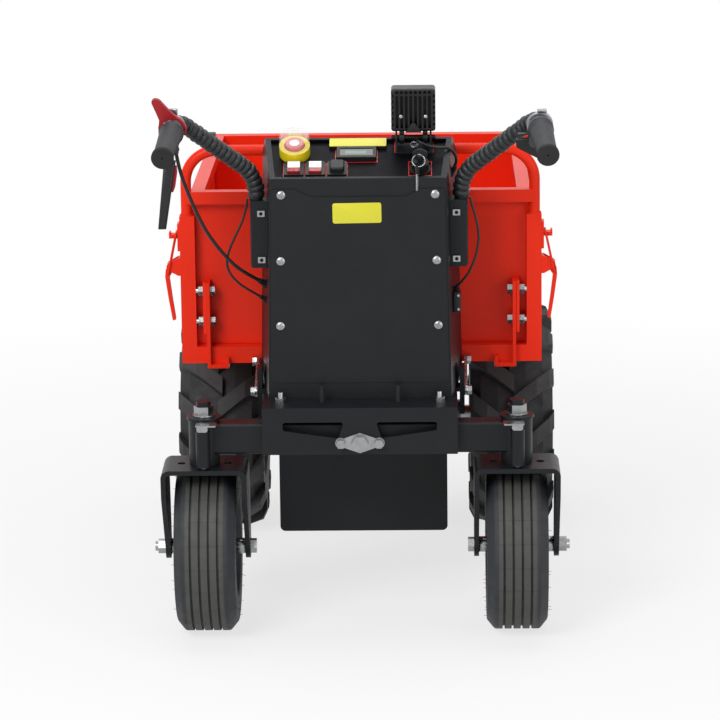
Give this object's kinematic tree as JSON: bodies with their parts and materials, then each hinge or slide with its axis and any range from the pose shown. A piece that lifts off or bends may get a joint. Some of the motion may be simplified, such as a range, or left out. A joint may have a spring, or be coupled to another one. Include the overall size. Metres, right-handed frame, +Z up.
{
  "type": "electric mini dumper",
  "caption": "Walk-behind electric dumper: tipping tray over lugged drive wheels, swivel casters on a rocking rear axle, battery box with control panel, and handlebars.",
  "frame": {"origin": "on the ground, under the middle of the machine's bounding box", "axes": "+Z up, +Y towards the drive wheels and the tipping end, +X to the operator's right"},
  "size_m": [0.686, 1.0306, 0.9076],
  "materials": {
    "red_paint": "gloss powder coat",
    "black_paint": "satin powder coat",
    "tyre": "matte rubber",
    "rim_paint": "satin paint",
    "zinc": "bright zinc plate",
    "shaft_steel": "turned steel",
    "gear_case": "cast, dull",
    "rubber": "matte rubber",
    "black_plastic": "fine grain",
    "panel_film": "smooth film",
    "yellow_plastic": "moulded gloss",
    "red_plastic": "moulded gloss",
    "white_plastic": "moulded gloss",
    "clear_cover": "clear moulding",
    "lamp_housing": "black coat on cast fins",
    "lever_alloy": "cast, painted grey",
    "battery_case": "moulded case"
  },
  "bodies": {
    "chassis": {"chassis_frame": "black_paint", "belly_guard": "black_paint", "transaxle": "gear_case", "axle_pivot_bolt": "zinc", "axle_buffers": "rubber", "chassis_hardware": "zinc", "control_box": "black_paint", "rear_cover": "black_paint", "cover_screws": "zinc", "control_panel": "panel_film", "estop_base": "yellow_plastic", "switch_bezels": "black_plastic", "battery_display": "black_plastic", "key_switch": "black_plastic", "lamp_bracket": "black_paint", "handle_brackets": "black_paint", "handle_bars": "black_paint", "handle_looms": "black_plastic", "handle_grips": "rubber", "lever_perches": "lever_alloy", "control_cables": "rubber", "batteries_and_controller": "battery_case"},
    "rear_axle": {"rear_axle_beam": "black_paint"},
    "tray": {"tray_floor": "red_paint", "tray_end_walls": "red_paint", "tray_side_walls": "red_paint", "corner_posts": "red_paint", "rear_hoop": "red_paint", "hanger_brackets": "red_paint", "tray_bolts": "zinc", "latch_bases": "red_paint"},
    "estop_button": {"estop_button": "red_plastic"},
    "estop_cover": {"estop_cover": "clear_cover"},
    "rocker_left": {"rocker_left": "white_plastic"},
    "rocker_right": {"rocker_right": "white_plastic"},
    "ignition_key": {"ignition_key": "black_plastic"},
    "work_lamp": {"work_lamp": "lamp_housing"},
    "brake_lever": {"brake_lever": "black_plastic"},
    "parking_lever": {"parking_lever": "red_plastic"},
    "throttle_lever": {"throttle_lever": "black_plastic"},
    "caster_fork_left": {"caster_fork_left": "black_paint", "caster_axle_left": "zinc"},
    "caster_wheel_left": {"caster_tyre_left": "tyre", "caster_rim_left": "rim_paint"},
    "caster_lock_left": {"lock_plunger_left": "zinc"},
    "drive_wheel_left": {"drive_tyre_left": "tyre", "drive_rim_left": "rim_paint", "drive_shaft_left": "shaft_steel"},
    "latch_lever_left": {"latch_lever_left": "red_paint"},
    "latch_bail_left": {"latch_bail_left": "red_paint"},
    "caster_fork_right": {"caster_fork_right": "black_paint", "caster_axle_right": "zinc"},
    "caster_wheel_right": {"caster_tyre_right": "tyre", "caster_rim_right": "rim_paint"},
    "caster_lock_right": {"lock_plunger_right": "zinc"},
    "drive_wheel_right": {"drive_tyre_right": "tyre", "drive_rim_right": "rim_paint", "drive_shaft_right": "shaft_steel"},
    "latch_lever_right": {"latch_lever_right": "red_paint"},
    "latch_bail_right": {"latch_bail_right": "red_paint"}
  },
  "joints": [
    {"name": "rear_axle_rock", "type": "hinge", "parent": "chassis", "child": "rear_axle", "pos_m": [0, -0.35973, 0.3403], "axis": [0, 1, 0], "range_deg": [-5, 5]},
    {"name": "tray_tilt", "type": "hinge", "parent": "chassis", "child": "tray", "pos_m": [0, 0.47527, 0.372], "axis": [-1, 0, 0], "range_deg": [0, 70]},
    {"name": "caster_swivel_left", "type": "hinge", "parent": "rear_axle", "child": "caster_fork_left", "pos_m": [-0.255, -0.35973, 0.296], "axis": [0, 0, 1], "continuous": true},
    {"name": "caster_roll_left", "type": "hinge", "parent": "caster_fork_left", "child": "caster_wheel_left", "pos_m": [-0.255, -0.30973, 0.14], "axis": [1, 0, 0], "continuous": true},
    {"name": "caster_lock_left", "type": "slide", "parent": "rear_axle", "child": "caster_lock_left", "axis": [0, 0, 1], "range_m": [-0.009, 0]},
    {"name": "drive_roll_left", "type": "hinge", "parent": "chassis", "child": "drive_wheel_left", "pos_m": [-0.258, 0.31527, 0.2], "axis": [1, 0, 0], "continuous": true},
    {"name": "latch_swing_left", "type": "hinge", "parent": "tray", "child": "latch_lever_left", "pos_m": [-0.317, -0.15723, 0.582], "axis": [0, 1, 0], "range_deg": [0, 60]},
    {"name": "latch_bail_left", "type": "hinge", "parent": "latch_lever_left", "child": "latch_bail_left", "pos_m": [-0.3215, -0.15723, 0.571], "axis": [0, 1, 0], "range_deg": [-70, 1]},
    {"name": "caster_swivel_right", "type": "hinge", "parent": "rear_axle", "child": "caster_fork_right", "pos_m": [0.255, -0.35973, 0.296], "axis": [0, 0, 1], "continuous": true},
    {"name": "caster_roll_right", "type": "hinge", "parent": "caster_fork_right", "child": "caster_wheel_right", "pos_m": [0.255, -0.30973, 0.14], "axis": [1, 0, 0], "continuous": true},
    {"name": "caster_lock_right", "type": "slide", "parent": "rear_axle", "child": "caster_lock_right", "axis": [0, 0, 1], "range_m": [-0.009, 0]},
    {"name": "drive_roll_right", "type": "hinge", "parent": "chassis", "child": "drive_wheel_right", "pos_m": [0.258, 0.31527, 0.2], "axis": [1, 0, 0], "continuous": true},
    {"name": "latch_swing_right", "type": "hinge", "parent": "tray", "child": "latch_lever_right", "pos_m": [0.317, -0.15723, 0.582], "axis": [0, -1, 0], "range_deg": [0, 60]},
    {"name": "latch_bail_right", "type": "hinge", "parent": "latch_lever_right", "child": "latch_bail_right", "pos_m": [0.3215, -0.15723, 0.571], "axis": [0, -1, 0], "range_deg": [-70, 1]},
    {"name": "estop_press", "type": "slide", "parent": "chassis", "child": "estop_button", "axis": [0, 0.4797, -0.8774], "range_m": [0, 0.005]},
    {"name": "estop_flap", "type": "hinge", "parent": "chassis", "child": "estop_cover", "pos_m": [-0.1035, -0.23821, 0.81711], "axis": [-1, 0, 0], "range_deg": [0, 100]},
    {"name": "key_turn", "type": "hinge", "parent": "chassis", "child": "ignition_key", "pos_m": [0.1005, -0.29958, 0.78241], "axis": [0, -0.4797, 0.8774], "range_deg": [0, 45]},
    {"name": "lamp_tilt", "type": "hinge", "parent": "chassis", "child": "work_lamp", "pos_m": [0.09, -0.24628, 0.81332], "axis": [1, 0, 0], "range_deg": [-25, 25]},
    {"name": "brake_pull", "type": "hinge", "parent": "chassis", "child": "brake_lever", "pos_m": [-0.29506, -0.39635, 0.82448], "axis": [-1, 0, 0], "range_deg": [0, 30], "stiffness_Nm_per_rad": 0.6},
    {"name": "parking_swing", "type": "hinge", "parent": "chassis", "child": "parking_lever", "pos_m": [-0.29206, -0.39035, 0.85548], "axis": [-0.9975, 0.0689, 0.0138], "range_deg": [0, 25]},
    {"name": "throttle_press", "type": "hinge", "parent": "chassis", "child": "throttle_lever", "pos_m": [0.2791, -0.38634, 0.83078], "axis": [0.0703, -0.9782, -0.1956], "range_deg": [0, 25], "stiffness_Nm_per_rad": 0.15},
    {"name": "rocker_left", "type": "hinge", "parent": "chassis", "child": "rocker_left", "pos_m": [-0.1042, -0.29471, 0.7714], "axis": [1, 0, 0], "range_deg": [-8, 8]},
    {"name": "rocker_right", "type": "hinge", "parent": "chassis", "child": "rocker_right", "pos_m": [-0.0694, -0.29471, 0.7714], "axis": [1, 0, 0], "range_deg": [-8, 8]}
  ],
  "couplings": [
    {"joint": "latch_bail_left", "follows": "latch_swing_left", "ratio": -1.15},
    {"joint": "latch_bail_right", "follows": "latch_swing_right", "ratio": -1.15}
  ]
}
